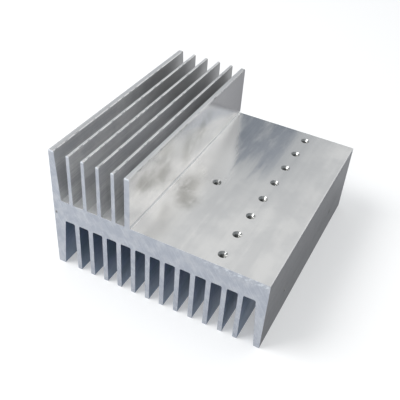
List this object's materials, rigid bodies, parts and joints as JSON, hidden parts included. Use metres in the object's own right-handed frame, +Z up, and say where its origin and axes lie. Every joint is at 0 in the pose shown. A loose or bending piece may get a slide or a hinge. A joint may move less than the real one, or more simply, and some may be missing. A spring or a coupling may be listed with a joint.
{
  "type": "extruded heat sink",
  "caption": "Bare aluminium extruded heat sink: fins hang under a thick base plate, a fin group with an end wall stands up at one side, and a flat tapped plate for devices lies beside it.",
  "frame": {"origin": "middle of the footprint, on the plane of the lower fin tips", "axes": "+Y along the extrusion, away from the front sawn face; +X from the upper fins to the flat plate; +Z up, from the lower fin tips to the upper fin tips"},
  "size_m": [0.148, 0.16, 0.091],
  "materials": {
    "aluminium": "mill finish with faint lines along the extrusion, sawn at both ends"
  },
  "bodies": {
    "root": {"heat_sink": "aluminium"}
  },
  "joints": []
}
